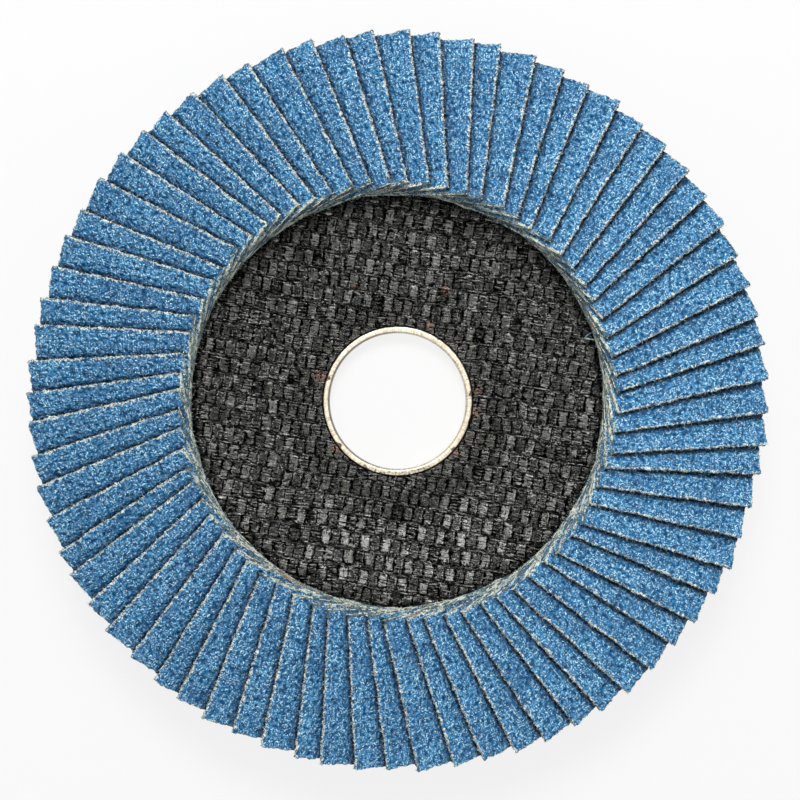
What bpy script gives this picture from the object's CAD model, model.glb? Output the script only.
# %% [markdown]
# # Dressing a flap disc
# A flap disc is a grinding disc that polishes as it cuts. Seventy-two flaps of abrasive cloth stand in a fan
# on a moulded plate, bedded in glue, and a steel ring lines the bore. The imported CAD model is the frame: it
# says where every piece is. This script gives each piece the surface it has in the hand: grit and frayed
# cloth on the flaps, a woven skin on the plate, a worn lip on the ring. Lengths are in metres, apart from the
# lists that say they are in mm.

# %% Load the frame
from math import ceil, cos, hypot, pi, radians, sin

import bmesh
import bpy
import numpy as np
from mathutils import Matrix, Vector
from mathutils.geometry import delaunay_2d_cdt


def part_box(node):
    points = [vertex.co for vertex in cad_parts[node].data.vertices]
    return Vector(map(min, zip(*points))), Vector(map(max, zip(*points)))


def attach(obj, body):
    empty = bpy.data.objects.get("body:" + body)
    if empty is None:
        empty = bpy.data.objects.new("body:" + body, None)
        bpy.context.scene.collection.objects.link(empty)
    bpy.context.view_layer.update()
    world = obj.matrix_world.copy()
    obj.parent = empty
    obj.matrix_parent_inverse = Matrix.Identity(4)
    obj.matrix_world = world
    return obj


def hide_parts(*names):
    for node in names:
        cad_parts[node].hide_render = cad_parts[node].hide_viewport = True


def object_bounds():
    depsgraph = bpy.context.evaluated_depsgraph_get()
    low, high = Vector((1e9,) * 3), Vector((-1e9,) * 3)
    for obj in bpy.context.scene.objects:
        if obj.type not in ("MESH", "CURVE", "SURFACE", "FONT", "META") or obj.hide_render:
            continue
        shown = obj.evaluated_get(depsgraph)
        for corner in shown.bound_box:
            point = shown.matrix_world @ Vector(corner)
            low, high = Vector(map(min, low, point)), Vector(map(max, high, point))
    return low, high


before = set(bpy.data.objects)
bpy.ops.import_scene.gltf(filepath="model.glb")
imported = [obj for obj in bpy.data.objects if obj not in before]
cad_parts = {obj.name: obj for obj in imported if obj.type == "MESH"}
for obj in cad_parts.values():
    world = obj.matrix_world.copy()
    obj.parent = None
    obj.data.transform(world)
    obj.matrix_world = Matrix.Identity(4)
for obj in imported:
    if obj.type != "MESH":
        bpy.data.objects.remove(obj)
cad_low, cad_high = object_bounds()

MM = 0.001


def put(name, data):
    """A new object in the scene."""
    made = bpy.data.objects.new(name, data)
    bpy.context.scene.collection.objects.link(made)
    return made


print("CAD box in mm:", [round(v / MM, 2) for v in (*cad_low, *cad_high)])

# %% [markdown]
# ## The camera
# The disc lies on its back and is looked at straight down its bore, so the camera hangs on the disc's own
# axis. It is near enough that the tall flaps look a little larger than the plate below them. The disc is
# turned a few degrees from square and sits a hair off the middle of the picture, and the camera takes both
# up: it is rolled, and moved sideways by less than half a millimetre.

# %% Camera
CAMERA_HEIGHT = 242 * MM
SENSOR = 36.0  # mm, Blender's usual sensor width
LENS = 66.3  # mm
CAMERA_ROLL = radians(2.4)
CAMERA_ASIDE = Vector((0.37 * MM, 0.18 * MM, 0))

camera_data = bpy.data.cameras.new("camera")
camera_data.sensor_width = SENSOR
camera_data.lens = LENS
camera = put("camera", camera_data)
camera.location = CAMERA_ASIDE + Vector((0, 0, CAMERA_HEIGHT))
camera.rotation_euler = (0, 0, CAMERA_ROLL)
bpy.context.scene.camera = camera
bpy.context.scene.view_settings.view_transform = "Standard"
print("camera", round(CAMERA_HEIGHT / MM), "mm above the floor, lens", LENS, "mm")

# %% [markdown]
# ## Short words for node trees
# Materials and Geometry Nodes are both made of nodes joined by wires. Writing each one out takes four lines,
# and the pattern drowns in them. This small class adds a node, feeds its inputs from numbers or from other
# nodes' outputs, and hands back an output, so that a tree reads like a sum. The functions below call it n.


# %% Node writer
class Nodes:
    """Writes a node tree by short calls: each adds one node and gives back one of its outputs."""

    def __init__(self, tree):
        self.tree = tree

    def add(self, kind, inputs=None, out=0, **settings):
        made = self.tree.nodes.new(kind)
        for name, value in settings.items():
            setattr(made, name, value)
        for name, value in (inputs or {}).items():
            if isinstance(value, bpy.types.NodeSocket):
                self.tree.links.new(value, made.inputs[name])
            else:
                made.inputs[name].default_value = value
        return made.outputs[out]

    def math(self, operation, *values, clamp=False):
        return self.add("ShaderNodeMath", dict(enumerate(values)), operation=operation, use_clamp=clamp)

    def folded(self, operation, values):
        """One operation over any number of values, from the left."""
        total = values[0]
        for value in values[1:]:
            total = self.math(operation, total, value)
        return total

    def times(self, *values):
        return self.folded("MULTIPLY", values)

    def most(self, *values):
        return self.folded("MAXIMUM", values)

    def over(self, first, second):
        return self.math("DIVIDE", first, second)

    def minus(self, first, second, clamp=False):
        return self.math("SUBTRACT", first, second, clamp=clamp)

    def plus(self, first, second, share=None):
        """The sum of two values, or of the first and a share of the second."""
        if share is not None:
            second = self.times(second, share)
        return self.math("ADD", first, second)

    def vector(self, operation, *values, out=0):
        return self.add("ShaderNodeVectorMath", dict(enumerate(values)), out, operation=operation)

    def dot(self, first, second):
        return self.vector("DOT_PRODUCT", first, second, out="Value")

    def length(self, vector):
        return self.vector("LENGTH", vector, out="Value")

    def level(self, vector):
        """A vector without its height."""
        return self.vector("MULTIPLY", vector, (1, 1, 0))

    def scaled(self, vector, factor):
        return self.add("ShaderNodeVectorMath", {0: vector, "Scale": factor}, operation="SCALE")

    def split(self, vector):
        """The x, y and z of a vector."""
        return self.add("ShaderNodeSeparateXYZ", {0: vector}).node.outputs

    def joined(self, x, y, z=0.0):
        return self.add("ShaderNodeCombineXYZ", {0: x, 1: y, 2: z})

    def coordinates(self, kind="Object"):
        return self.add("ShaderNodeTexCoord", out=kind)

    def stored(self, name, out="Vector"):
        """What a mesh stores under a name at each point."""
        return self.add("ShaderNodeAttribute", out=out, attribute_name=name)

    def step(self, value, start, end, low=0.0, high=1.0):
        """Rises from low to high in a smooth step while value goes from start to end."""
        limits = {0: value, 1: start, 2: end, 3: low, 4: high}
        return self.add("ShaderNodeMapRange", limits, interpolation_type="SMOOTHSTEP")

    def mix(self, factor, first, second, blend="MIX"):
        colours = {0: factor, 6: first, 7: second}
        return self.add("ShaderNodeMix", colours, 2, data_type="RGBA", blend_type=blend)

    def noise(self, at, size, detail=2.0, roughness=0.5, out=0):
        """Cloudy noise whose blobs are about size across."""
        inputs = {"Vector": at, "Scale": 1 / size, "Detail": detail, "Roughness": roughness}
        return self.add("ShaderNodeTexNoise", inputs, out)

    def cells(self, at, size):
        """The node of level Voronoi cells about size across: it has Distance, Color and Position."""
        inputs = {"Vector": at, "Scale": 1 / size}
        return self.add("ShaderNodeTexVoronoi", inputs, voronoi_dimensions="2D").node

    def bump(self, height, distance, strength=1.0):
        return self.add("ShaderNodeBump", {"Height": height, "Distance": distance, "Strength": strength})


def new_material(name):
    """An empty node material, its writer and its Principled shader."""
    material = bpy.data.materials.new(name)
    material.use_nodes = True
    shader = material.node_tree.nodes["Principled BSDF"]
    return material, Nodes(material.node_tree), shader


def wire(shader, **sockets):
    """Feeds a shader's sockets: names have _ for a space, and values are numbers or outputs."""
    for name, value in sockets.items():
        socket = shader.inputs[name.replace("_", " ")]
        if isinstance(value, bpy.types.NodeSocket):
            shader.id_data.links.new(value, socket)
        else:
            socket.default_value = value


def grey(value):
    return (value, value, value, 1)


# %% [markdown]
# ## Floor, world and lamps
# The disc lies on a white sheet in soft light from all round, with one softbox above its far side, which
# draws the dark line under each flap's edge. Two panels show only in gloss: a wider one in the softbox's
# place, for the bright patch on the near wall of the dish, and a dim one opposite. Gloss also sees a dim
# ceiling, so that resin that faces straight up stays dark. The floor is lit like any white floor, but camera
# and mirror rays take most of its white from Light Path, so the background is white without more light on
# the disc.


# %% Floor and world
SKY = 0.46
CEILING = 0.12  # what gloss sees straight overhead, where the room is dim
CEILING_FADE = (0.30, 0.82)  # heights of the way up between which it dims
FLOOR_SIZE = 2.0
FLOOR_DROP = 0.05 * MM
FLOOR_WHITE = 0.8
FLOOR_GLOW = 0.82


def ray_kind(n, *kinds):
    """1 for rays of these kinds, such as Camera or Glossy, and 0 for the others."""
    path = n.add("ShaderNodeLightPath").node
    return n.most(*(path.outputs[f"Is {kind} Ray"] for kind in kinds))


def light_the_world():
    world = bpy.data.worlds.new("studio")
    bpy.context.scene.world = world
    world.use_nodes = True
    n = Nodes(world.node_tree)
    background = world.node_tree.nodes["Background"]
    height = n.split(n.coordinates("Generated"))[2]
    room = n.mix(n.step(height, *CEILING_FADE), grey(1.0), grey(CEILING))
    colour = n.mix(ray_kind(n, "Glossy"), grey(SKY), room)
    colour = n.mix(ray_kind(n, "Camera", "Transmission"), colour, grey(1.0))
    world.node_tree.links.new(colour, background.inputs["Color"])


def lay_floor():
    material, n, shader = new_material("white_sheet")
    wire(shader, Base_Color=grey(FLOOR_WHITE), Roughness=0.9)
    glow = n.add("ShaderNodeEmission", {"Color": grey(1.0), "Strength": 1.0})
    share = n.times(ray_kind(n, "Camera", "Glossy", "Transmission"), FLOOR_GLOW)
    lit = n.add("ShaderNodeMixShader", {0: share, 1: shader.outputs[0], 2: glow})
    material.node_tree.links.new(lit, material.node_tree.nodes["Material Output"].inputs["Surface"])
    mesh = bpy.data.meshes.new("floor")
    half = FLOOR_SIZE / 2
    level = cad_low.z - FLOOR_DROP
    corners = [(-half, -half, level), (half, -half, level), (half, half, level), (-half, half, level)]
    mesh.from_pydata(corners, [], [(0, 1, 2, 3)])
    mesh.materials.append(material)
    floor = put("floor", mesh)


light_the_world()
lay_floor()
print("white floor", FLOOR_SIZE, "m across, sky at", SKY)

# %% Lamps
TARGET = Vector((0, 0, 10 * MM))
SOFTBOX_AT = (radians(-4), radians(34), 0.42)  # bearing, lean and distance
SHEEN_AT = (radians(180), radians(36), 0.5)


def hang_panel(name, bearing, lean, distance, size, radiance, in_gloss_only=False):
    """A square panel aimed at the disc: bearing is clockwise from the far side, lean from straight up."""
    data = bpy.data.lights.new(name, "AREA")
    data.size = size
    data.energy = radiance * pi * size**2
    panel = put(name, data)
    away = Vector((sin(bearing) * sin(lean), cos(bearing) * sin(lean), cos(lean)))
    panel.location = TARGET + away * distance
    panel.rotation_euler = away.to_track_quat("Z", "Y").to_euler()
    panel.visible_diffuse = not in_gloss_only


hang_panel("softbox", *SOFTBOX_AT, size=0.16, radiance=16.5)
hang_panel("glint_panel", *SOFTBOX_AT, size=0.26, radiance=9.5, in_gloss_only=True)
hang_panel("sheen_panel", *SHEEN_AT, size=0.30, radiance=4.5, in_gloss_only=True)

# %% [markdown]
# ## Where the flaps are
# In the frame a flap is a plain slab, two to a node. The script reads each slab back as a place and three
# directions: across it from the glued root up to the free edge, along it outwards from the bore, and up
# through its thickness. The long, middle and short axes of eight corners come straight from a singular value
# decomposition, and only their signs have to be settled.


# %% Read the flaps
MERGE = 1e-6
FLAP_NODES = sorted(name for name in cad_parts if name.startswith("flaps_"))


def merged(node):
    """A copy of a CAD node's loose triangles as one joined shape."""
    shape = bmesh.new()
    shape.from_mesh(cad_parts[node].data)
    bmesh.ops.remove_doubles(shape, verts=shape.verts, dist=MERGE)
    return shape


def islands(shape):
    """The corners of each separate lump of a shape."""
    left = set(shape.verts)
    while left:
        waiting, lump = [left.pop()], []
        while waiting:
            corner = waiting.pop()
            lump.append(corner.co.copy())
            near = {edge.other_vert(corner) for edge in corner.link_edges} & left
            left -= near
            waiting.extend(near)
        yield np.array(lump)


class Flap:
    """One slab of the frame: its node, its size, and the matrix from its own corner to the disc."""

    def __init__(self, node, corners):
        self.node = node
        middle = corners.mean(0)
        spread, axes = np.linalg.svd(corners - middle)[1:]
        along, across, up = (Vector(axis) for axis in axes)
        self.length, self.width, self.thickness = spread * 2 / len(corners) ** 0.5
        along *= 1 if along.dot(Vector((middle[0], middle[1], 0))) > 0 else -1
        across *= 1 if across.z > 0 else -1
        up *= 1 if up.z > 0 else -1
        root = Vector(middle) - (along * self.length + across * self.width + up * self.thickness) / 2
        self.place = Matrix.Translation(root) @ Matrix((across, along, up)).transposed().to_4x4()
        self.bearing = np.arctan2(along.x, along.y) % (2 * pi)

    def cover(self, above):
        """Where the flap above ends, seen from straight over this one: across at the inner and outer end."""
        back = self.place.inverted()
        straight_up = back.to_3x3() @ Vector((0, 0, 1))
        found = []
        for end in (0, above.length):
            edge = back @ above.place @ Vector((above.width, end, 0))
            found.append((edge + straight_up * (self.thickness - edge.z) / straight_up.z).xy)
        return found


flaps = []
for node in FLAP_NODES:
    slabs = merged(node)
    flaps.extend(Flap(node, corners) for corners in islands(slabs))
    slabs.free()
flaps.sort(key=lambda flap: round(flap.bearing, 3) % round(2 * pi, 3))
flap_size = (flaps[0].width, flaps[0].length, flaps[0].thickness)
print(len(flaps), "flaps, each", [round(v / MM, 2) for v in flap_size])

# %% [markdown]
# ## The blank of a flap
# Only a narrow strip of each flap shows on top, between the free edge of the flap above and its own. That
# strip gets a fine grid for the grit, the walls get a few layers for the frayed cloth, and the covered top
# and the underside are one face each. The blank is made at the flap's own corner, flat and square, because
# "across", "along" and "up" are then simply x, y and z.


# %% Blank of a flap
ROWS = 118
COLUMNS = 25
COVERED_COLUMNS = 9
LAYERS = (1.0, 0.8, 0.6, 0.38, 0.18, 0.0)
COVER_MARGIN = 0.7 * MM


def blank(flap, above):
    """The slab as a closed mesh in its own corner's axes, with a fine grid on the strip that shows."""
    (inner, inner_at), (outer, outer_at) = flap.cover(above)
    slope = (outer - inner) / (outer_at - inner_at)
    points, faces = [], []

    def point(x, y, layer):
        points.append((x, y, flap.thickness * layer))
        return len(points) - 1

    grid = []
    for row in range(ROWS + 1):
        y = flap.length * row / ROWS
        start = inner + slope * (y - inner_at) - COVER_MARGIN
        xs = [start + (flap.width - start) * column / COLUMNS for column in range(COLUMNS + 1)]
        grid.append([point(x, y, 1.0) for x in xs])
    for lower, upper in zip(grid, grid[1:]):
        faces += [(a, b, c, d) for a, b, c, d in zip(lower, lower[1:], upper[1:], upper)]

    def covered(row):
        """The top's points from the root to the grid, along one end."""
        x, y, _ = points[grid[row][0]]
        return [point(x * k / COVERED_COLUMNS, y, 1.0) for k in range(COVERED_COLUMNS)]

    near, far = covered(0), covered(-1)
    faces.append([*near, *(line[0] for line in grid), *reversed(far)])
    rim = [*near, *grid[0], *(line[-1] for line in grid[1:-1]), *reversed(grid[-1]), *reversed(far)]
    walls = [rim]
    for layer in LAYERS[1:]:
        walls.append([point(*points[corner][:2], layer) for corner in rim])
    for upper, lower in zip(walls, walls[1:]):
        faces += [(a, b, c, d) for a, b, c, d in zip(lower, lower[1:], upper[1:], upper)]
    faces.append([*(wall[0] for wall in walls), *(wall[-1] for wall in reversed(walls))])
    faces.append(list(reversed(walls[-1])))
    mesh = bpy.data.meshes.new("blank")
    mesh.from_pydata(points, [], faces)
    from_cover = [x - inner - slope * (y - inner_at) for x, y, _ in points]
    mesh.attributes.new("from_cover", "FLOAT", "POINT").data.foreach_set("value", from_cover)
    return mesh


print("a blank has", len(blank(flaps[1], flaps[0]).polygons), "faces")

# %% [markdown]
# ## Abrasive cloth
# The cloth is cotton and polyester, stiff with resin. Grit is strewn on it and locked with a blue size coat,
# so the top is a crust of sharp blue grains with darker blue in the gaps and pale glints where a grain
# breaks through. Beside the flap above, dust and soot darken it. A cut edge shows the layers: a ragged crust,
# and under it cream cloth with teal where resin soaked in. The material reads a flap's own coordinates, which
# the tree of the next step stores before it roughens the flap, and so knows where each layer is.

# %% Abrasive cloth material
CRUST = 0.62  # share of the thickness above which the cut edge is crust
MID_GREY = (0.5, 0.5, 0.5)  # the middle of a random colour
GRAIN = 0.72 * MM
FINE_GRAIN = 0.38 * MM
GRIT_BLUE = (0.014, 0.166, 0.385, 1)
GRIT_PALE = (0.036, 0.272, 0.555, 1)
GRIT_DEEP = (0.003, 0.050, 0.140, 1)
GRIT_TIP = (0.640, 0.900, 0.980, 1)
CLOTH_CREAM = (0.820, 0.880, 0.840, 1)
CLOTH_SHADE = (0.060, 0.110, 0.130, 1)
CUT_TEAL = (0.014, 0.062, 0.092, 1)
CUT_PALE = (0.780, 0.840, 0.700, 1)
SOAKED_TEAL = (0.060, 0.145, 0.170, 1)
SOOT = (0.002, 0.014, 0.032, 1)


def grains(n, at, size):
    """Grains of one size: the distance from a grain's middle, how far its top is tipped, and its luck."""
    cell = n.cells(at, size).outputs
    way = n.level(n.vector("SUBTRACT", at, cell["Position"]))
    facing = n.vector("SUBTRACT", cell["Color"], MID_GREY)
    tip = n.over(n.dot(way, facing), size)
    return cell["Distance"], tip, n.dot(cell["Color"], (0, 0, 1))


def curved_chip(n, distance, tip, luck, inner, outer):
    """A pale curved glint on one side of each grain, brighter on some grains than on others."""
    return n.times(
        n.step(distance, inner - 0.05, inner),
        n.step(distance, outer + 0.05, outer),
        n.step(tip, 0.04, 0.10),
        n.step(luck, 0.15, 0.75, 0.30, 1.0),
    )


def abrasive_cloth(size):
    """Grit on top, cloth below: size is the flap's width, length and thickness."""
    material, n, shader = new_material("abrasive_cloth")
    at = n.stored("cloth_at")
    x, y, z = n.split(n.stored("flap_at"))
    from_free = n.minus(size[0], x)
    from_outer = n.minus(size[1], y)
    depth = n.over(z, size[2])
    fine = n.noise(at, 0.16 * MM, 1.0, 0.6)
    medium = n.noise(at, 0.52 * MM, 2.0, 0.65)
    broad = n.noise(at, 4.0 * MM, 1.0)

    distance, facet, luck = grains(n, at, GRAIN)
    small_distance, small_facet, small_luck = grains(n, at, FINE_GRAIN)
    gap = n.step(n.plus(distance, fine, 0.5), 0.78, 1.05)
    small_gap = n.step(n.plus(small_distance, medium, 0.8), 0.92, 1.20)
    gap = n.most(n.times(gap, 0.75), n.times(small_gap, 0.85))
    shade = n.plus(broad, n.plus(facet, small_facet), 0.8)
    crust = n.mix(n.step(shade, 0.20, 0.75), GRIT_BLUE, GRIT_PALE)
    crust = n.mix(gap, crust, GRIT_DEEP)
    chip = curved_chip(n, n.plus(distance, medium, 0.3), facet, luck, 0.46, 0.60)
    small = n.plus(small_distance, fine, 0.3)
    chip = n.most(chip, curved_chip(n, small, small_facet, small_luck, 0.42, 0.66))
    crust = n.mix(n.times(chip, n.step(broad, 0.25, 0.6, 0.65, 1.0)), crust, GRIT_TIP)
    outer_rim = n.step(n.plus(from_outer, fine, 0.3 * MM), 0.36 * MM, 0.12 * MM)
    crust = n.mix(n.times(outer_rim, 0.5), crust, CUT_TEAL)

    tufts = n.plus(n.times(fine, 0.5), medium, -0.5)
    cloth = n.mix(n.step(tufts, -0.05, 0.05), CLOTH_SHADE, CLOTH_CREAM)
    coated = n.step(n.plus(depth, medium, 0.4), 0.60, 0.46)
    cloth = n.mix(coated, cloth, SOAKED_TEAL)
    near_inner = n.step(y, 1.2 * MM, 0.5 * MM, 0.0, 0.85)
    pale_share = n.step(n.plus(broad, fine, 0.5), 0.70, 0.84)
    cloth = n.mix(near_inner, cloth, n.mix(pale_share, CUT_TEAL, CUT_PALE))
    cloth = n.mix(n.times(outer_rim, 0.35), cloth, CUT_TEAL)
    is_crust = n.step(n.plus(depth, medium, 0.5), CRUST + 0.20, CRUST + 0.30)
    # for each cut, in mm: how far the crust's edge strays, where it is gone and where it is whole
    cuts = (from_free, 1.5, 0.80, 0.88), (y, 1.5, 0.98, 1.08), (from_outer, 1.2, 0.58, 0.68)
    for from_cut, stray, bare, kept in cuts:
        ragged = n.plus(from_cut, medium, stray * MM)
        is_crust = n.times(is_crust, n.step(ragged, bare * MM, kept * MM))
    colour = n.mix(is_crust, cloth, crust)

    from_cover = n.stored("from_cover", "Fac")
    shown = n.times(n.step(from_cover, -0.6 * MM, -0.4 * MM), n.step(y, 0.2 * MM, 1.2 * MM))
    hollow = n.plus(from_cover, medium, 1.6 * MM)
    dusty = n.times(n.step(hollow, 1.90 * MM, 0.90 * MM, 0.0, 0.75), shown)
    colour = n.mix(dusty, colour, GRIT_DEEP)
    sooty = n.times(n.step(hollow, 1.02 * MM, 0.76 * MM), shown)
    colour = n.mix(sooty, colour, SOOT)

    domes = n.plus(n.times(distance, distance, -0.7), n.times(small_distance, small_distance, -0.8))
    height = n.plus(domes, facet, 0.4)
    height = n.plus(height, fine, 0.4)
    rough = n.minus(0.85, n.times(is_crust, 0.45))
    rough = n.minus(rough, n.times(chip, is_crust, 0.15))
    normal = n.bump(height, 0.26 * MM, 0.9)
    wire(shader, Base_Color=colour, Roughness=rough, Normal=normal, Specular_IOR_Level=0.30)
    return material


# %% [markdown]
# ## Threads
# Where the cloth was cut, yarn ends and single fibres stand out of it. They are the same cream cotton as the
# cut edge, dark teal in places where resin has soaked in, and here and there dyed blue or browned by heat.


# %% Thread material
THREAD_CREAM = (0.92, 0.93, 0.83, 1)
THREAD_SOAKED = (0.045, 0.105, 0.115, 1)
THREAD_DYED = (0.05, 0.19, 0.28, 1)
THREAD_BROWN = (0.44, 0.22, 0.10, 1)


def cut_thread():
    material, n, shader = new_material("cut_thread")
    at = n.coordinates()
    soaked = n.step(n.noise(at, 0.7 * MM), 0.46, 0.54)
    colour = n.mix(soaked, THREAD_CREAM, THREAD_SOAKED)
    dyed = n.step(n.noise(at, 3.0 * MM), 0.48, 0.60)
    colour = n.mix(n.times(dyed, 0.6), colour, THREAD_DYED)
    browned = n.step(n.noise(at, 5.0 * MM, 1.0), 0.66, 0.72, 0.0, 0.8)
    colour = n.mix(browned, colour, THREAD_BROWN)
    normal = n.bump(n.noise(at, 0.12 * MM, 1.0), 0.05 * MM)
    wire(shader, Base_Color=colour, Roughness=0.8, Normal=normal)
    return material


abrasive = abrasive_cloth(flap_size)
thread = cut_thread()
print("materials:", abrasive.name, thread.name)

# %% [markdown]
# ## Grit, ragged edges and fibres by Geometry Nodes
# Seventy-two flaps are the same thing seventy-two times, yet no two look alike: each has its own grains, its
# own ragged cut and its own stray fibres. That is a rule with a seed, so it is a Geometry Nodes tree. It
# lifts the top grid into faceted grains, pushes the free, inner and outer edges in and out, grows fibres
# from those three cuts, and lays three loose yarns along the inner one.


# %% Flap tree
YARNS = ((0.86, 0.26), (0.45, 0.36), (0.12, 0.40))  # share of the thickness, and wander in mm


def float_input(tree, name, value):
    socket = tree.interface.new_socket(name=name, in_out="INPUT", socket_type="NodeSocketFloat")
    socket.default_value = value
    return socket.identifier


def flap_tree():
    """The tree, and the identifiers of its named inputs."""
    tree = bpy.data.node_groups.new("cut_abrasive_cloth", "GeometryNodeTree")
    tree.interface.new_socket(name="Geometry", in_out="INPUT", socket_type="NodeSocketGeometry")
    tree.interface.new_socket(name="Geometry", in_out="OUTPUT", socket_type="NodeSocketGeometry")
    sizes = {
        "Width": flap_size[0],
        "Length": flap_size[1],
        "Thickness": flap_size[2],
        "Grain Size": GRAIN,
        "Grain Height": 0.13 * MM,
        "Fray": 0.23 * MM,
        "Fibre Length": 0.42 * MM,
        "Fibre Radius": 0.035 * MM,
        "Yarn Radius": 0.075 * MM,
        "Undercut": 0.15 * MM,
    }
    identifiers = {name: float_input(tree, name, value) for name, value in sizes.items()}
    shift = tree.interface.new_socket(name="Pattern Shift", in_out="INPUT", socket_type="NodeSocketVector")
    seed = tree.interface.new_socket(name="Seed", in_out="INPUT", socket_type="NodeSocketInt")
    identifiers["Pattern Shift"] = shift.identifier
    identifiers["Seed"] = seed.identifier

    n = Nodes(tree)
    given = n.add("NodeGroupInput").node.outputs
    here = n.add("GeometryNodeInputPosition")
    at = n.vector("ADD", here, given["Pattern Shift"])
    x, y, z = n.split(here)

    def remember(geometry, name, value):
        inputs = {"Geometry": geometry, "Name": name, "Value": value}
        return n.add("GeometryNodeStoreNamedAttribute", inputs, data_type="FLOAT_VECTOR")

    cloth = remember(given["Geometry"], "cloth_at", at)
    cloth = remember(cloth, "flap_at", here)

    from_free = n.minus(given["Width"], x)
    from_outer = n.minus(given["Length"], y)
    on_top = n.step(z, 0.98 * flap_size[2], 0.999 * flap_size[2])
    to_edge = n.math("MINIMUM", n.math("MINIMUM", from_free, from_outer), y)

    cell = n.cells(at, GRAIN)
    n.tree.links.new(n.over(1.0, given["Grain Size"]), cell.inputs["Scale"])
    off_centre = n.level(n.vector("SUBTRACT", at, cell.outputs["Position"]))
    facing = n.vector("SUBTRACT", cell.outputs["Color"], MID_GREY)
    facet = n.over(n.dot(off_centre, facing), given["Grain Size"])
    bulge = n.minus(n.times(facet, 1.1), cell.outputs["Distance"])
    crumb = n.minus(n.noise(at, 0.3 * MM, 2.0), 0.5)
    relief = n.times(n.plus(bulge, crumb), given["Grain Height"])
    worn = n.times(n.step(to_edge, 0.35 * MM, 0.0), n.noise(at, 0.5 * MM))
    relief = n.minus(relief, n.times(worn, given["Grain Height"]))
    lift = n.times(relief, on_top)

    def ragged(distance, reach, blob, shift_by, strength, even=0.52):
        """A push in or out, strongest at an edge and gone at reach from it: more even is further in."""
        near = n.minus(1.0, n.over(distance, reach), clamp=True)
        cloud = n.noise(n.vector("ADD", at, shift_by), blob, 3.0, 0.65)
        push = n.times(n.minus(cloud, even), 4.0 * strength)
        return n.times(push, near, given["Fray"])

    sideways = n.plus(
        ragged(from_free, 0.7 * MM, 0.42 * MM, (0, 0, 0), 1.3),
        ragged(from_free, 2.5 * MM, 3.5 * MM, (0.01, 0, 0), 0.7),
    )
    low = n.step(z, 0.55 * flap_size[2], 0.0)
    tucked = n.times(low, n.step(from_free, 0.5 * MM, 0.0))
    sideways = n.minus(sideways, n.times(tucked, given["Undercut"]))
    outwards = n.minus(
        ragged(from_outer, 0.9 * MM, 0.8 * MM, (0, 0.01, 0), 1.2, 0.60),
        ragged(y, 0.7 * MM, 0.5 * MM, (0, 0.02, 0), 1.3),
    )
    offset = n.joined(sideways, outwards, lift)
    cloth = n.add("GeometryNodeSetPosition", {"Geometry": cloth, "Offset": offset})
    body = n.add("GeometryNodeSetMaterial", {"Geometry": cloth, "Material": abrasive})

    normal = n.add("GeometryNodeInputNormal")
    face_x, face_y, _ = n.split(normal)
    below_crust = n.add(
        "FunctionNodeCompare", {0: z, 1: CRUST * flap_size[2]}, operation="LESS_THAN", data_type="FLOAT"
    )

    def fibres(facing_out, per_area, spread, seed_step):
        """Tapered fibre ends that stand out of one cut wall, and lean at random."""
        is_wall = n.add("FunctionNodeCompare", {0: facing_out, 1: 0.6}, operation="GREATER_THAN")
        chosen = n.add("FunctionNodeBooleanMath", {0: is_wall, 1: below_crust}, operation="AND")
        seeded = n.plus(given["Seed"], seed_step)
        scatter = {"Mesh": cloth, "Selection": chosen, "Density": per_area, "Seed": seeded}
        dots = n.add("GeometryNodeDistributePointsOnFaces", scatter).node
        shape = {
            "Vertices": 3,
            "Radius Top": 0.0,
            "Radius Bottom": given["Fibre Radius"],
            "Depth": given["Fibre Length"],
        }
        cone = n.add("GeometryNodeMeshCone", shape, fill_type="NONE")
        stray = {0: (-spread,) * 3, 1: (spread,) * 3, "Seed": seeded}
        stray = n.add("FunctionNodeRandomValue", stray, data_type="FLOAT_VECTOR")
        lean = n.vector("ADD", dots.outputs["Normal"], stray)
        turn = n.add("FunctionNodeAlignRotationToVector", {"Vector": lean}, axis="Z")
        long = {2: 0.25, 3: 1.3, "Seed": seeded}
        long = n.add("FunctionNodeRandomValue", long, 1, data_type="FLOAT")
        planted = {"Points": dots.outputs["Points"], "Instance": cone, "Rotation": turn, "Scale": long}
        return n.add("GeometryNodeInstanceOnPoints", planted)

    def yarn(level, seed_step, wander):
        """A loose yarn that lies along the inner cut at a share of the thickness."""
        start = n.joined(0.36 * flap_size[0], 0.06 * MM, level)
        past = n.plus(given["Width"], 0.15 * MM)
        end = n.joined(past, 0.02 * MM, level)
        line = n.add("GeometryNodeCurvePrimitiveLine", {"Start": start, "End": end})
        line = n.add("GeometryNodeResampleCurve", {"Curve": line, "Count": 40})
        shifted = n.vector("ADD", at, (0, 0, 0.01 * seed_step))
        cloud = n.noise(shifted, 1.0 * MM, 3.0, 0.65, out=1)
        sway = n.scaled(n.vector("SUBTRACT", cloud, MID_GREY), wander)
        line = n.add("GeometryNodeSetPosition", {"Geometry": line, "Offset": sway})
        ring = {"Resolution": 4, "Radius": given["Yarn Radius"]}
        ring = n.add("GeometryNodeCurvePrimitiveCircle", ring)
        tube = {"Curve": line, "Profile Curve": ring, "Fill Caps": True}
        return n.add("GeometryNodeCurveToMesh", tube)

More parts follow.
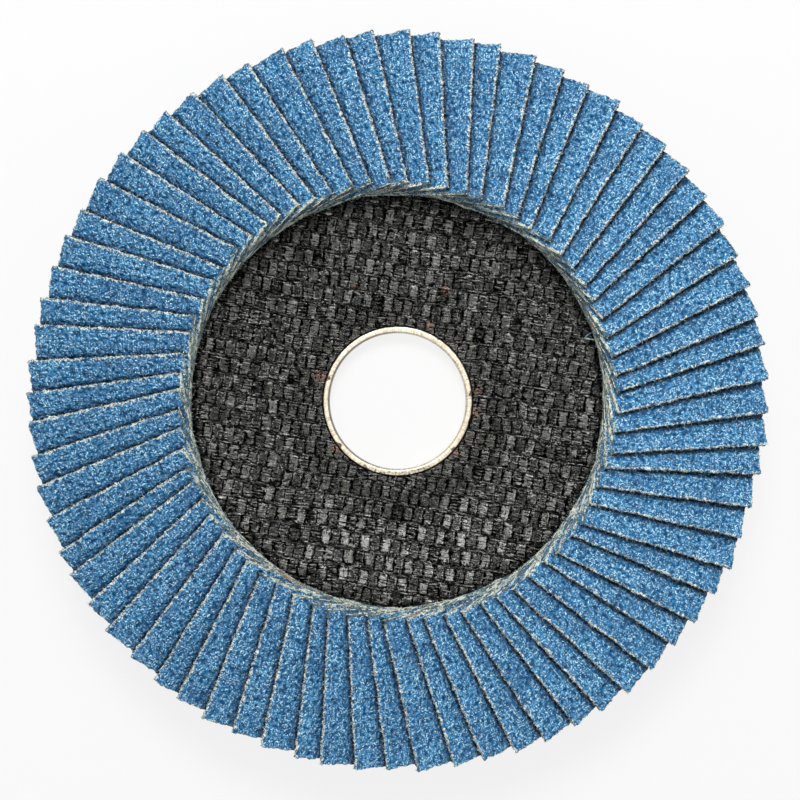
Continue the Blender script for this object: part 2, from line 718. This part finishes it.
    loose = n.add("GeometryNodeJoinGeometry").node
    strands = (
        fibres(face_x, per_area=5.5e6, spread=0.9, seed_step=1),
        fibres(n.times(face_y, -1.0), per_area=4.5e6, spread=0.9, seed_step=2),
        fibres(face_y, per_area=1.2e6, spread=0.8, seed_step=3),
        *(yarn(share * flap_size[2], k, stray * MM) for k, (share, stray) in enumerate(YARNS, 1)),
    )
    for strand in strands:
        tree.links.new(strand, loose.inputs[0])
    loose = n.add("GeometryNodeRealizeInstances", {"Geometry": loose.outputs[0]})
    loose = n.add("GeometryNodeSetMaterial", {"Geometry": loose, "Material": thread})
    both = n.add("GeometryNodeJoinGeometry").node
    tree.links.new(loose, both.inputs[0])
    tree.links.new(body, both.inputs[0])
    end = tree.nodes.new("NodeGroupOutput")
    tree.links.new(both.outputs[0], end.inputs[0])
    return tree, identifiers


tree, tree_inputs = flap_tree()
print("tree", tree.name, "with inputs", list(tree_inputs))

# %% [markdown]
# ## Cutting all the flaps
# Each blank goes through the tree with its own seed and its own stretch of pattern. The result is baked into
# a plain mesh, and only then moved from the flap's corner to its place in the fan.


# %% Flaps
PATTERN_STEP = 40 * MM


def run_tree(mesh, name, tree, values):
    """The mesh that a tree makes of mesh, as new data."""
    piece = put(name, mesh)
    modifier = piece.modifiers.new("make", "NODES")
    modifier.node_group = tree
    for identifier, value in values.items():
        modifier[identifier] = value
    graph = bpy.context.evaluated_depsgraph_get()
    result = piece.evaluated_get(graph)
    made = bpy.data.meshes.new_from_object(result, preserve_all_data_layers=True, depsgraph=graph)
    piece.modifiers.clear()
    piece.data = made
    bpy.data.meshes.remove(mesh)
    return piece


triangles = 0
for number, flap in enumerate(flaps):
    values = {
        tree_inputs["Width"]: float(flap.width),
        tree_inputs["Length"]: float(flap.length),
        tree_inputs["Thickness"]: float(flap.thickness),
        tree_inputs["Pattern Shift"]: (PATTERN_STEP * number, 0.0, PATTERN_STEP * (number % 7)),
        tree_inputs["Seed"]: number,
    }
    piece = run_tree(blank(flap, flaps[number - 1]), f"flap_{number + 1:02d}", tree, values)
    piece.data.transform(flap.place)
    piece.data.calc_loop_triangles()
    triangles += len(piece.data.loop_triangles)
    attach(piece, "root")
    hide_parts(flap.node)
print(len(flaps), "flaps made,", triangles, "triangles in all")

# %% [markdown]
# ## One loose thread
# One yarn has pulled out of the pack and curls over the dish. It is a curve through a few points with a
# round section, made a mesh, and it starts inside the stack of flaps, so that it hangs from something.

# %% Loose thread
LOOSE_POINTS = (  # in mm
    (33.6, 10.4, 8.6),
    (31.4, 10.7, 9.8),
    (30.0, 11.1, 10.4),
    (28.6, 11.0, 10.6),
    (29.3, 11.5, 10.8),
    (29.9, 12.0, 11.0),
)
LOOSE_RADIUS = 0.12 * MM


def pull_thread():
    curve = bpy.data.curves.new("loose_thread", "CURVE")
    curve.dimensions = "3D"
    curve.bevel_depth = LOOSE_RADIUS
    curve.bevel_resolution = 1
    curve.resolution_u = 5
    curve.use_fill_caps = True
    spline = curve.splines.new("NURBS")
    spline.points.add(len(LOOSE_POINTS) - 1)
    for point, place in zip(spline.points, LOOSE_POINTS):
        point.co = (*(v * MM for v in place), 1)
    spline.use_endpoint_u = True
    drawn = bpy.data.objects.new("loose_thread", curve)
    mesh = bpy.data.meshes.new_from_object(drawn)
    bpy.data.objects.remove(drawn)
    mesh.materials.clear()
    mesh.materials.append(thread)
    return mesh


loose = put("loose_thread", pull_thread())
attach(loose, "root")
print("loose thread:", len(loose.data.polygons), "faces")

# %% [markdown]
# ## Woven skin of the plate
# The plate is pressed from glass cloth and black resin. Flat yarns show through its skin as rows of small
# pads between thin cross ridges, every other pad lower and ribbed. A bump map alone would look painted on
# from the side, so the weave is real relief: the smooth faces are cut off a copy of the CAD plate, and a
# new skin is laid on the same edge points. Its points lie on lines that crowd at the pads' edges, so the
# edges stay crisp with few triangles.

# %% Weave of the plate
WEAVE_TURN = radians(-6.6)
PAD_PITCH = 1.62 * MM
ROW_PITCH = 2.75 * MM
ROW_SHIFT = 0.618  # share of a pad by which each row is set off from the last
RIDGE_HEIGHT = 0.20 * MM
PAD_HEIGHT = 0.30 * MM
WANDER = 0.11 * MM
WANDER_LENGTH = 23 * MM
PAD_LINES = (0.0, 0.09, 0.2, 0.5, 0.8, 0.91)
ROW_LINES = (0.0, 0.07, 0.13, 0.22, 0.4, 0.6, 0.8, 0.88, 0.94)
SKIN_LEVEL = 0.75  # least height of a normal for a face to be taken as skin
CHANCE_TILE = 128  # pads after which the pads' luck repeats
pad_chances = np.random.default_rng(115).random((CHANCE_TILE, CHANCE_TILE, 6)) - 0.5


def smooth_step(value, start, end):
    share = np.clip((value - start) / (end - start), 0, 1)
    return share * share * (3 - 2 * share)


def turned(x, y, angle):
    return x * cos(angle) - y * sin(angle), y * cos(angle) + x * sin(angle)


def wander(x, y):
    """How far the yarns stray from straight lines at a place, along and across the ridges."""
    wave = 2 * pi / WANDER_LENGTH
    along = np.sin(wave * y + 1.0) + np.sin(1.7 * wave * (x - y))
    across = np.sin(wave * x) + 0.6 * np.sin(1.9 * wave * (x + 0.4 * y) + 2.0)
    return WANDER * along, WANDER * across


def along_weave(x, y):
    """A place on the plate in the weave's own directions: along the ridges, and across them."""
    along, across = turned(x, y, -WEAVE_TURN)
    stray_along, stray_across = wander(x, y)
    return along + stray_along, across + stray_across


def row_start(across):
    """How far along the pads of a row are set off."""
    return PAD_PITCH * (np.floor(across / ROW_PITCH) * ROW_SHIFT % 1.0)


def weave_height(x, y, hub, full):
    """How far the skin stands above the smooth plate: none at the radius hub, all of it from full on."""
    along, across = along_weave(x, y)
    along = along + row_start(across)
    pad, row = np.floor(along / PAD_PITCH).astype(int), np.floor(across / ROW_PITCH).astype(int)
    luck = pad_chances[pad % CHANCE_TILE, row % CHANCE_TILE]
    u, v = along / PAD_PITCH - pad, across / ROW_PITCH - row
    u = u + 0.22 * luck[..., 4] * (v - 0.5)
    tall = np.where((pad + row) % 2 == 0, 0.9, 0.5) + 0.5 * luck[..., 0]
    pads = smooth_step(u, 0.02, 0.18 + 0.1 * luck[..., 3]) * smooth_step(1 - u, 0.0, 0.11)
    pads = pads * smooth_step(v, 0.07, 0.2) * smooth_step(1 - v, 0.06, 0.14 + 0.08 * luck[..., 5])
    lean = (u - 0.5) * luck[..., 1] + (v - 0.5) * luck[..., 2]
    ridge = smooth_step(0.12 - np.minimum(v, 1 - v), 0.0, 0.1) * (0.8 + 0.7 * luck[..., 3])
    height = PAD_HEIGHT * pads * (tall + 1.1 * lean) + RIDGE_HEIGHT * ridge
    return height * smooth_step(np.hypot(x, y), hub, full)


def line_points(pitch, shares, reach):
    """Places of lines with a repeat of pitch, out to reach on both sides."""
    count = ceil(reach / pitch)
    return np.array([pitch * (k + share) for k in range(-count, count) for share in shares])


def skin_spots(inner, outer, pad_lines, row_lines):
    """Points of the skin between two radii, on the weave's lines."""
    wide = outer + 4 * WANDER
    columns, rows = line_points(PAD_PITCH, pad_lines, wide), line_points(ROW_PITCH, row_lines, wide)
    along, across = (v.ravel() for v in np.meshgrid(columns, rows))
    along = along - row_start(across + MERGE)
    x, y = turned(along, across, WEAVE_TURN)
    for _ in range(3):
        stray_along, stray_across = wander(x, y)
        x, y = turned(along - stray_along, across - stray_across, WEAVE_TURN)
    far = np.hypot(x, y)
    return np.stack([x, y], 1)[(far > inner) & (far < outer)]


def lay_skin(shape, facing, least, spots, relief):
    """Takes the faces that look up (facing 1) or down (-1) beyond a radius, and lays a skin on spots."""
    old = [
        face
        for face in shape.faces
        if face.normal.z * facing > SKIN_LEVEL and all(hypot(*v.co.xy) > least for v in face.verts)
    ]
    corners = {v for face in old for v in face.verts}
    heights = sorted((hypot(*v.co.xy), v.co.z) for v in corners)
    radii, levels = np.array(heights).T
    chosen = set(old)
    rim = {edge for face in old for edge in face.edges if sum(f in chosen for f in edge.link_faces) == 1}
    rim_corners = list({v for edge in rim for v in edge.verts})
    index = {v: k for k, v in enumerate(rim_corners)}
    edges = [tuple(index[v] for v in edge.verts) for edge in rim]
    inner = min(hypot(*v.co.xy) for v in rim_corners)
    bmesh.ops.delete(shape, geom=old, context="FACES")
    flat = [v.co.xy for v in rim_corners] + [Vector(spot) for spot in spots]
    placed, _, faces, origins, _, _ = delaunay_2d_cdt(flat, edges, [], 0, MERGE / 10)
    x, y = np.array(placed).T
    z = np.interp(np.hypot(x, y), radii, levels) + facing * relief(x, y)
    made = []
    for k, origin in enumerate(origins):
        first = min(origin) if origin else len(rim_corners)
        made.append(rim_corners[first] if first < len(rim_corners) else shape.verts.new((x[k], y[k], z[k])))
    for face in faces:
        middle = np.mean([placed[k] for k in face], 0)
        if hypot(*middle) > inner * cos(radians(2)):
            ring = face if facing > 0 else face[::-1]
            shape.faces.new([made[k] for k in ring])


LIP_LEVEL = 2.9 * MM  # only the lip of the bore ring stands above it
ring_corners = [(hypot(*v.co.xy), v.co.z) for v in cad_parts["bore_ring"].data.vertices]
lip_edge = max(radius for radius, height in ring_corners if height > LIP_LEVEL)
flange_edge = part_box("bore_ring")[1].x
plate_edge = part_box("backing_plate")[1].x
opening = min(hypot(*(flap.place @ Vector((flap.width / 2, 0, flap.thickness))).xy) for flap in flaps)
print("lip", lip_edge / MM, "flange", flange_edge / MM, "opening", round(opening / MM, 2))

# %% Plate
SKIN_MARGIN = 0.35 * MM
HIDDEN_STEP = 1.6 * MM
FRONT_MARGIN, BACK_MARGIN = 1.2 * MM, 0.9 * MM  # from the plate's edge
HUB_SMOOTH, HUB_WOVEN = 11.8 * MM, 15.5 * MM
BACK_SMOOTH, BACK_WOVEN = 17 * MM, 24 * MM
BACK_FADE = (52 * MM, 50 * MM)
BACK_HEIGHT = -0.35  # share of the front's relief, and downwards
BACK_PAD_LINES = (0.0, 0.2, 0.9)
BACK_ROW_LINES = (0.0, 0.13, 0.22, 0.6, 0.88)
seen_to = opening + 1.5 * MM


def hidden_spots(inner, outer):
    """A coarse grid for what the flaps and the glue cover."""
    places = np.arange(-outer, outer, HIDDEN_STEP)
    x, y = (v.ravel() for v in np.meshgrid(places, places))
    far = np.hypot(x, y)
    return np.stack([x, y], 1)[(far > inner) & (far < outer)]


def front_relief(x, y):
    return weave_height(x, y, HUB_SMOOTH, HUB_WOVEN) * smooth_step(np.hypot(x, y), seen_to + MM, seen_to)


def back_relief(x, y):
    fade = smooth_step(np.hypot(x, y), *BACK_FADE)
    return BACK_HEIGHT * weave_height(x, y, BACK_SMOOTH, BACK_WOVEN) * fade


def note_weave(mesh):
    """Stores each point's place in the weave, along and across, and how much of the weave shows there."""
    places = np.empty(len(mesh.vertices) * 3)
    mesh.vertices.foreach_get("co", places)
    x, y, _ = places.reshape(-1, 3).T
    woven = np.stack([*along_weave(x, y), smooth_step(np.hypot(x, y), HUB_SMOOTH, HUB_WOVEN)], 1)
    mesh.attributes.new("weave_at", "FLOAT_VECTOR", "POINT").data.foreach_set("vector", woven.ravel())


plate = merged("backing_plate")
front = skin_spots(lip_edge + SKIN_MARGIN, seen_to, PAD_LINES, ROW_LINES)
front = np.concatenate([front, hidden_spots(seen_to + HIDDEN_STEP / 2, plate_edge - FRONT_MARGIN)])
lay_skin(plate, 1, lip_edge, front, front_relief)
back = skin_spots(flange_edge + SKIN_MARGIN, plate_edge - BACK_MARGIN, BACK_PAD_LINES, BACK_ROW_LINES)
lay_skin(plate, -1, flange_edge, back, back_relief)
plate_mesh = bpy.data.meshes.new("plate")
bmesh.ops.triangulate(plate, faces=[face for face in plate.faces if len(face.verts) > 3])
plate.to_mesh(plate_mesh)
print("open edges:", sum(not edge.is_manifold for edge in plate.edges), "faces:", len(plate.faces))
plate.free()
note_weave(plate_mesh)

# %% [markdown]
# ## Black resin
# The resin is glossy, with slightly duller clouds. The gaps round the pads and the pits are a black metal,
# because black resin there would still mirror the room. Strokes run along the ridges and finer hairs across
# them: the dark ones are pits and the light ones scratches. The pads' edges are worn light, ribs cross the
# lower pads, some pads are missing, the hub is tinted, and rust from the ring has crept onto it.


# %% Plate material
RIB_PITCH = 0.56 * MM
STRAND_PITCH = 0.36 * MM
GAP_BLACK = (0.0012, 0.0012, 0.0012, 1)
RESIN_DARK = (0.006, 0.006, 0.006, 1)
YARN_DARK = (0.042, 0.042, 0.037, 1)
YARN_GREY = (0.128, 0.128, 0.116, 1)
WORN_EDGE = (0.420, 0.418, 0.400, 1)
HUB_TINT = (0.32, 0.31, 0.26, 1)
RUST = (0.160, 0.068, 0.036, 1)
RUST_SPOTS = (  # where rust has crept onto the hub: x and y and reach, in mm
    (-12.8, 3.6, 1.3),
    (4.7, 12.5, 0.9),
    (12.8, 2.4, 1.0),
    (12.7, -1.3, 1.1),
    (-9.7, -8.0, 1.0),
    (9.9, -8.0, 0.9),
    (-7.8, 18.3, 0.8),
    (6.9, 18.3, 1.0),
)


def stains(n, at, spots, ragged):
    """1 in the middle of each of the spots and 0 outside all of them."""
    total = 0.0
    for x, y, reach in spots:
        flat = n.level(n.vector("SUBTRACT", at, (x * MM, y * MM, 0)))
        far = n.plus(n.length(flat), ragged, MM)
        total = n.most(total, n.step(far, (reach + 0.5) * MM, (0.4 * reach + 0.5) * MM))
    return total


def pad_shares(n, along, across, stray):
    """For a place in the weave: its column and row, and its share of the way along and across its pad."""
    rows = n.over(across, ROW_PITCH)
    row = n.math("FLOOR", rows)
    shift = n.math("FRACT", n.times(row, ROW_SHIFT))
    columns = n.plus(n.over(along, PAD_PITCH), shift)
    column = n.math("FLOOR", columns)
    stray_x, stray_y, _ = n.split(stray)
    u = n.plus(n.minus(columns, column), stray_x)
    v = n.plus(n.minus(rows, row), stray_y, 0.6)
    return column, row, u, v


def between(n, value, low, high, soft):
    """1 between low and high, 0 outside them, with soft ends on the inside."""
    return n.times(n.step(value, low, low + soft), n.step(value, high, high - soft))


def inside(n, u, v, margin, soft):
    """1 inside a pad, 0 in the gaps round it, with the pad drawn in by a margin."""
    sides = between(n, u, margin, 1.03 - margin, soft)
    ends = between(n, v, 0.04 + margin, 1 - margin, soft)
    return n.times(sides, ends)


def black_resin():
    material, n, shader = new_material("black_resin")
    at = n.coordinates()
    along, across, full = n.split(n.stored("weave_at"))
    radius = n.length(n.level(at))
    cloud = n.noise(at, 2.2 * MM, 2.0, 0.6)
    flood = n.noise(at, 6.0 * MM, 2.0, 0.6)
    crumbs = n.noise(at, 0.55 * MM, 2.0, 0.65).node.outputs
    stray = n.scaled(n.vector("SUBTRACT", crumbs[1], MID_GREY), 0.90)
    fine = crumbs[0]
    drawn = n.joined(along, n.times(across, 6.0))
    strokes = n.noise(n.vector("ADD", drawn, n.scaled(stray, MM)), 1.5 * MM, 2.0, 0.6)
    upright = n.joined(n.times(along, 5.0), across)
    hairs = n.noise(upright, 1.3 * MM, 2.0, 0.6)

    column, row, u, v = pad_shares(n, along, across, stray)
    luck = n.add("ShaderNodeTexWhiteNoise", {"Vector": n.joined(column, row)}, "Value")
    parity = n.math("FRACT", n.times(n.plus(column, row), 0.5))
    odd = n.step(parity, 0.2, 0.3)
    solid = inside(n, u, v, 0.07, 0.06)
    core = inside(n, u, v, 0.17, 0.08)
    ridge = n.most(n.step(v, 0.075, 0.045), n.step(v, 0.955, 0.98))
    ribs = n.math("SINE", n.times(v, 2 * pi * ROW_PITCH / RIB_PITCH))
    strands = n.math("SINE", n.times(u, 2 * pi * PAD_PITCH / STRAND_PITCH))

    smooth_pad = n.mix(n.step(luck, 0.0, 0.8), YARN_DARK, YARN_GREY)
    smooth_pad = n.mix(n.step(hairs, 0.46, 0.36, 0.0, 0.8), smooth_pad, RESIN_DARK)
    ribbed_pad = n.mix(n.step(ribs, -0.2, 0.6), GAP_BLACK, YARN_DARK)
    tone = n.mix(odd, smooth_pad, ribbed_pad)
    tone = n.mix(n.step(flood, 0.50, 0.66, 0.0, 0.85), tone, RESIN_DARK)
    edge = n.minus(solid, core)
    worn = n.times(edge, n.step(fine, 0.46, 0.58), n.step(cloud, 0.36, 0.56), 0.7)
    tone = n.mix(worn, tone, WORN_EDGE)
    tone = n.mix(ridge, tone, YARN_DARK)
    scratch = n.most(n.step(strokes, 0.60, 0.67), n.step(hairs, 0.66, 0.74, 0.0, 0.7))
    scratch = n.times(scratch, n.step(cloud, 0.38, 0.56))
    tone = n.mix(scratch, tone, WORN_EDGE)
    tone = n.mix(n.step(radius, 20.5 * MM, 16.0 * MM), tone, HUB_TINT, "MULTIPLY")
    stain = n.times(stains(n, at, RUST_SPOTS, cloud), n.step(fine, 0.32, 0.48), 0.85)
    tone = n.mix(stain, tone, RUST)

    missing = n.times(odd, n.step(luck, 0.82, 0.84), n.step(strokes, 0.54, 0.46))
    pit = n.most(n.minus(1.0, solid), missing)
    held = n.times(ridge, n.step(strokes, 0.42, 0.50))
    pit = n.minus(pit, held, clamp=True)
    pit = n.most(pit, n.step(strokes, 0.46, 0.40), n.step(hairs, 0.41, 0.35))
    near_flaps = n.step(n.plus(radius, strokes, 3.0 * MM), opening + 1.1 * MM, opening + 2.4 * MM)
    pit = n.minus(n.most(pit, near_flaps), scratch, clamp=True)
    pit = n.most(pit, n.step(radius, lip_edge + 0.30 * MM, lip_edge + 0.12 * MM))
    colour = n.mix(pit, tone, GAP_BLACK)

    lines = n.mix(odd, n.times(strands, 0.12), ribs)
    height = n.times(lines, n.times(full, 0.45))
    height = n.plus(height, strokes)
    height = n.plus(height, cloud, 0.9)
    rough = n.step(cloud, 0.25, 0.75, 0.12, 0.24)
    normal = n.bump(height, 0.10 * MM, 0.9)
    wire(shader, Base_Color=colour, Roughness=rough, Metallic=pit, Normal=normal, Specular_IOR_Level=0.42)
    return material


plate_mesh.materials.append(black_resin())
plate_piece = put("woven_plate", plate_mesh)
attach(plate_piece, "root")
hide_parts("backing_plate")
print("plate:", len(plate_mesh.polygons), "triangles")

# %% [markdown]
# ## Glue and bore ring
# The glue is a grey-brown epoxy that shows only in the gaps from the side, so the CAD ring keeps its shape
# and gets a matt, slightly lumpy finish. The bore ring is pressed steel, so its edges are round: it is turned
# here from a section with arcs, on the frame's own radii. Its zinc finish is yellow-cream with fine radial
# marks of the press. Resin has crept onto the lip in places, and rust has started beside it.

# %% Glue material
GLUE_DARK = (0.060, 0.052, 0.045, 1)
GLUE_LIGHT = (0.130, 0.115, 0.095, 1)


def epoxy():
    material, n, shader = new_material("epoxy")
    lumps = n.noise(n.coordinates(), 1.2 * MM, 4.0, 0.6)
    colour = n.mix(n.step(lumps, 0.3, 0.7), GLUE_DARK, GLUE_LIGHT)
    normal = n.bump(lumps, 0.25 * MM)
    rough = n.step(lumps, 0.2, 0.8, 0.4, 0.7)
    wire(shader, Base_Color=colour, Roughness=rough, Normal=normal)
    return material


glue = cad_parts["adhesive_ring"]
glue.data.materials.clear()
glue.data.materials.append(epoxy())


# %% Ring
RING_STEPS = 180
PRESS_ROUND = 0.34 * MM  # round into the bore
LIP_ROUND = 0.16 * MM
ARC_STEPS = 5
SHEET_INNER = 0.4 * MM  # further from the bore's wall than this, corners belong to flange, tube or lip
TUBE_INNER = 0.3 * MM  # the tube's outside is further from the bore's wall than this
ZINC_DULL = (0.50, 0.42, 0.30, 1)
ZINC_BRIGHT = (0.88, 0.79, 0.62, 1)
ZINC_CLOUDED = (0.42, 0.36, 0.28, 1)
BORE_DARK = (0.14, 0.12, 0.10, 1)
RESIN_BROWN = (0.042, 0.020, 0.010, 1)
LIP_MARKS = (  # resin on the lip: x and y and reach, in mm
    (-11.9, 3.4, 0.95),
    (-9.4, -7.7, 0.80),
    (6.3, 10.6, 0.60),
    (12.2, 1.7, 0.85),
    (12.3, -0.7, 0.65),
    (12.1, -2.9, 0.85),
    (9.6, -7.7, 0.75),
)


def arc(radius, height, reach, start, end):
    """Points of an arc about a middle, with its angles in degrees from outwards."""
    turns = [radians(start + (end - start) * k / ARC_STEPS) for k in range(ARC_STEPS + 1)]
    return [(radius + reach * cos(turn), height + reach * sin(turn)) for turn in turns]


def ring_section():
    """The ring's section, as radius and height, anticlockwise from the foot of the bore."""
    bore = min(radius for radius, _ in ring_corners)
    foot, top = min(height for _, height in ring_corners), max(height for _, height in ring_corners)
    levels = sorted({round(height, 6) for radius, height in ring_corners if radius > bore + SHEET_INNER})
    flange_top, lip_foot = levels[1], levels[-2]
    at_lip_foot = [radius for radius, height in ring_corners if abs(height - lip_foot) < MERGE * 10]
    tube = min(radius for radius in at_lip_foot if radius > bore + TUBE_INNER)
    return [
        *arc(bore + PRESS_ROUND, foot + PRESS_ROUND, PRESS_ROUND, 180, 270),
        *arc(flange_edge - LIP_ROUND, foot + LIP_ROUND, LIP_ROUND, 270, 360),
        *arc(flange_edge - LIP_ROUND, flange_top - LIP_ROUND, LIP_ROUND, 0, 90),
        (tube, flange_top),
        (tube, lip_foot),
        (lip_edge, lip_foot),
        *arc(lip_edge - LIP_ROUND, top - LIP_ROUND, LIP_ROUND, 0, 90),
        *arc(bore + PRESS_ROUND, top - PRESS_ROUND, PRESS_ROUND, 90, 180),
    ]


def turn_ring():
    section = ring_section()
    count = len(section)
    places, faces = [], []
    for step in range(RING_STEPS):
        angle = 2 * pi * step / RING_STEPS
        places += [(radius * cos(angle), radius * sin(angle), height) for radius, height in section]
        after = (step + 1) % RING_STEPS
        for k in range(count):
            m = (k + 1) % count
            faces.append((step * count + k, after * count + k, after * count + m, step * count + m))
    mesh = bpy.data.meshes.new("pressed_ring")
    mesh.from_pydata(places, [], faces)
    mesh.shade_smooth()
    return mesh


def plated_steel():
    material, n, shader = new_material("plated_steel")
    at = n.coordinates()
    flat = n.level(at)
    radius = n.length(flat)
    around = n.scaled(n.vector("NORMALIZE", flat), lip_edge)
    streaks = n.noise(around, 0.30 * MM, 2.0, 0.7)
    scuff = n.noise(at, 0.45 * MM, 4.0, 0.7)
    patch = n.noise(at, 5.0 * MM, 2.0)
    wear = n.plus(n.times(streaks, 0.6), scuff, 0.4)
    colour = n.mix(n.step(wear, 0.36, 0.60), ZINC_DULL, ZINC_BRIGHT)
    colour = n.mix(n.step(patch, 0.40, 0.65, 0.0, 0.4), colour, ZINC_CLOUDED)
    outer = n.plus(radius, scuff, 0.5 * MM)
    rim = n.step(outer, lip_edge + 0.06 * MM, lip_edge + 0.26 * MM, 0.0, 0.9)
    x, y, _ = n.split(at)
    into_bore = n.step(radius, lip_edge - 0.66 * MM, lip_edge - 0.84 * MM)
    into_bore = n.times(into_bore, n.step(x, 5 * MM, -7 * MM), 0.8)
    colour = n.mix(into_bore, colour, BORE_DARK)
    on_lip = n.step(radius, lip_edge - 0.8 * MM, lip_edge - 0.5 * MM)
    speckled = n.times(n.step(y, -9.6 * MM, -11.0 * MM), n.step(scuff, 0.50, 0.56), on_lip)
    marks = n.step(stains(n, at, LIP_MARKS, scuff), 0.15, 0.5)
    dirt = n.most(rim, speckled, marks)
    colour = n.mix(n.times(dirt, 0.92), colour, RESIN_BROWN)
    normal = n.bump(wear, 0.05 * MM)
    rough = n.step(scuff, 0.2, 0.8, 0.30, 0.55)
    metal = n.times(n.minus(1.0, dirt), 0.45)
    wire(shader, Base_Color=colour, Roughness=rough, Normal=normal, Metallic=metal)
    return material


ring_mesh = turn_ring()
ring_mesh.materials.append(plated_steel())
ring = put("pressed_ring", ring_mesh)
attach(ring, "root")
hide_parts("bore_ring")
print("ring:", len(ring_mesh.polygons), "faces")
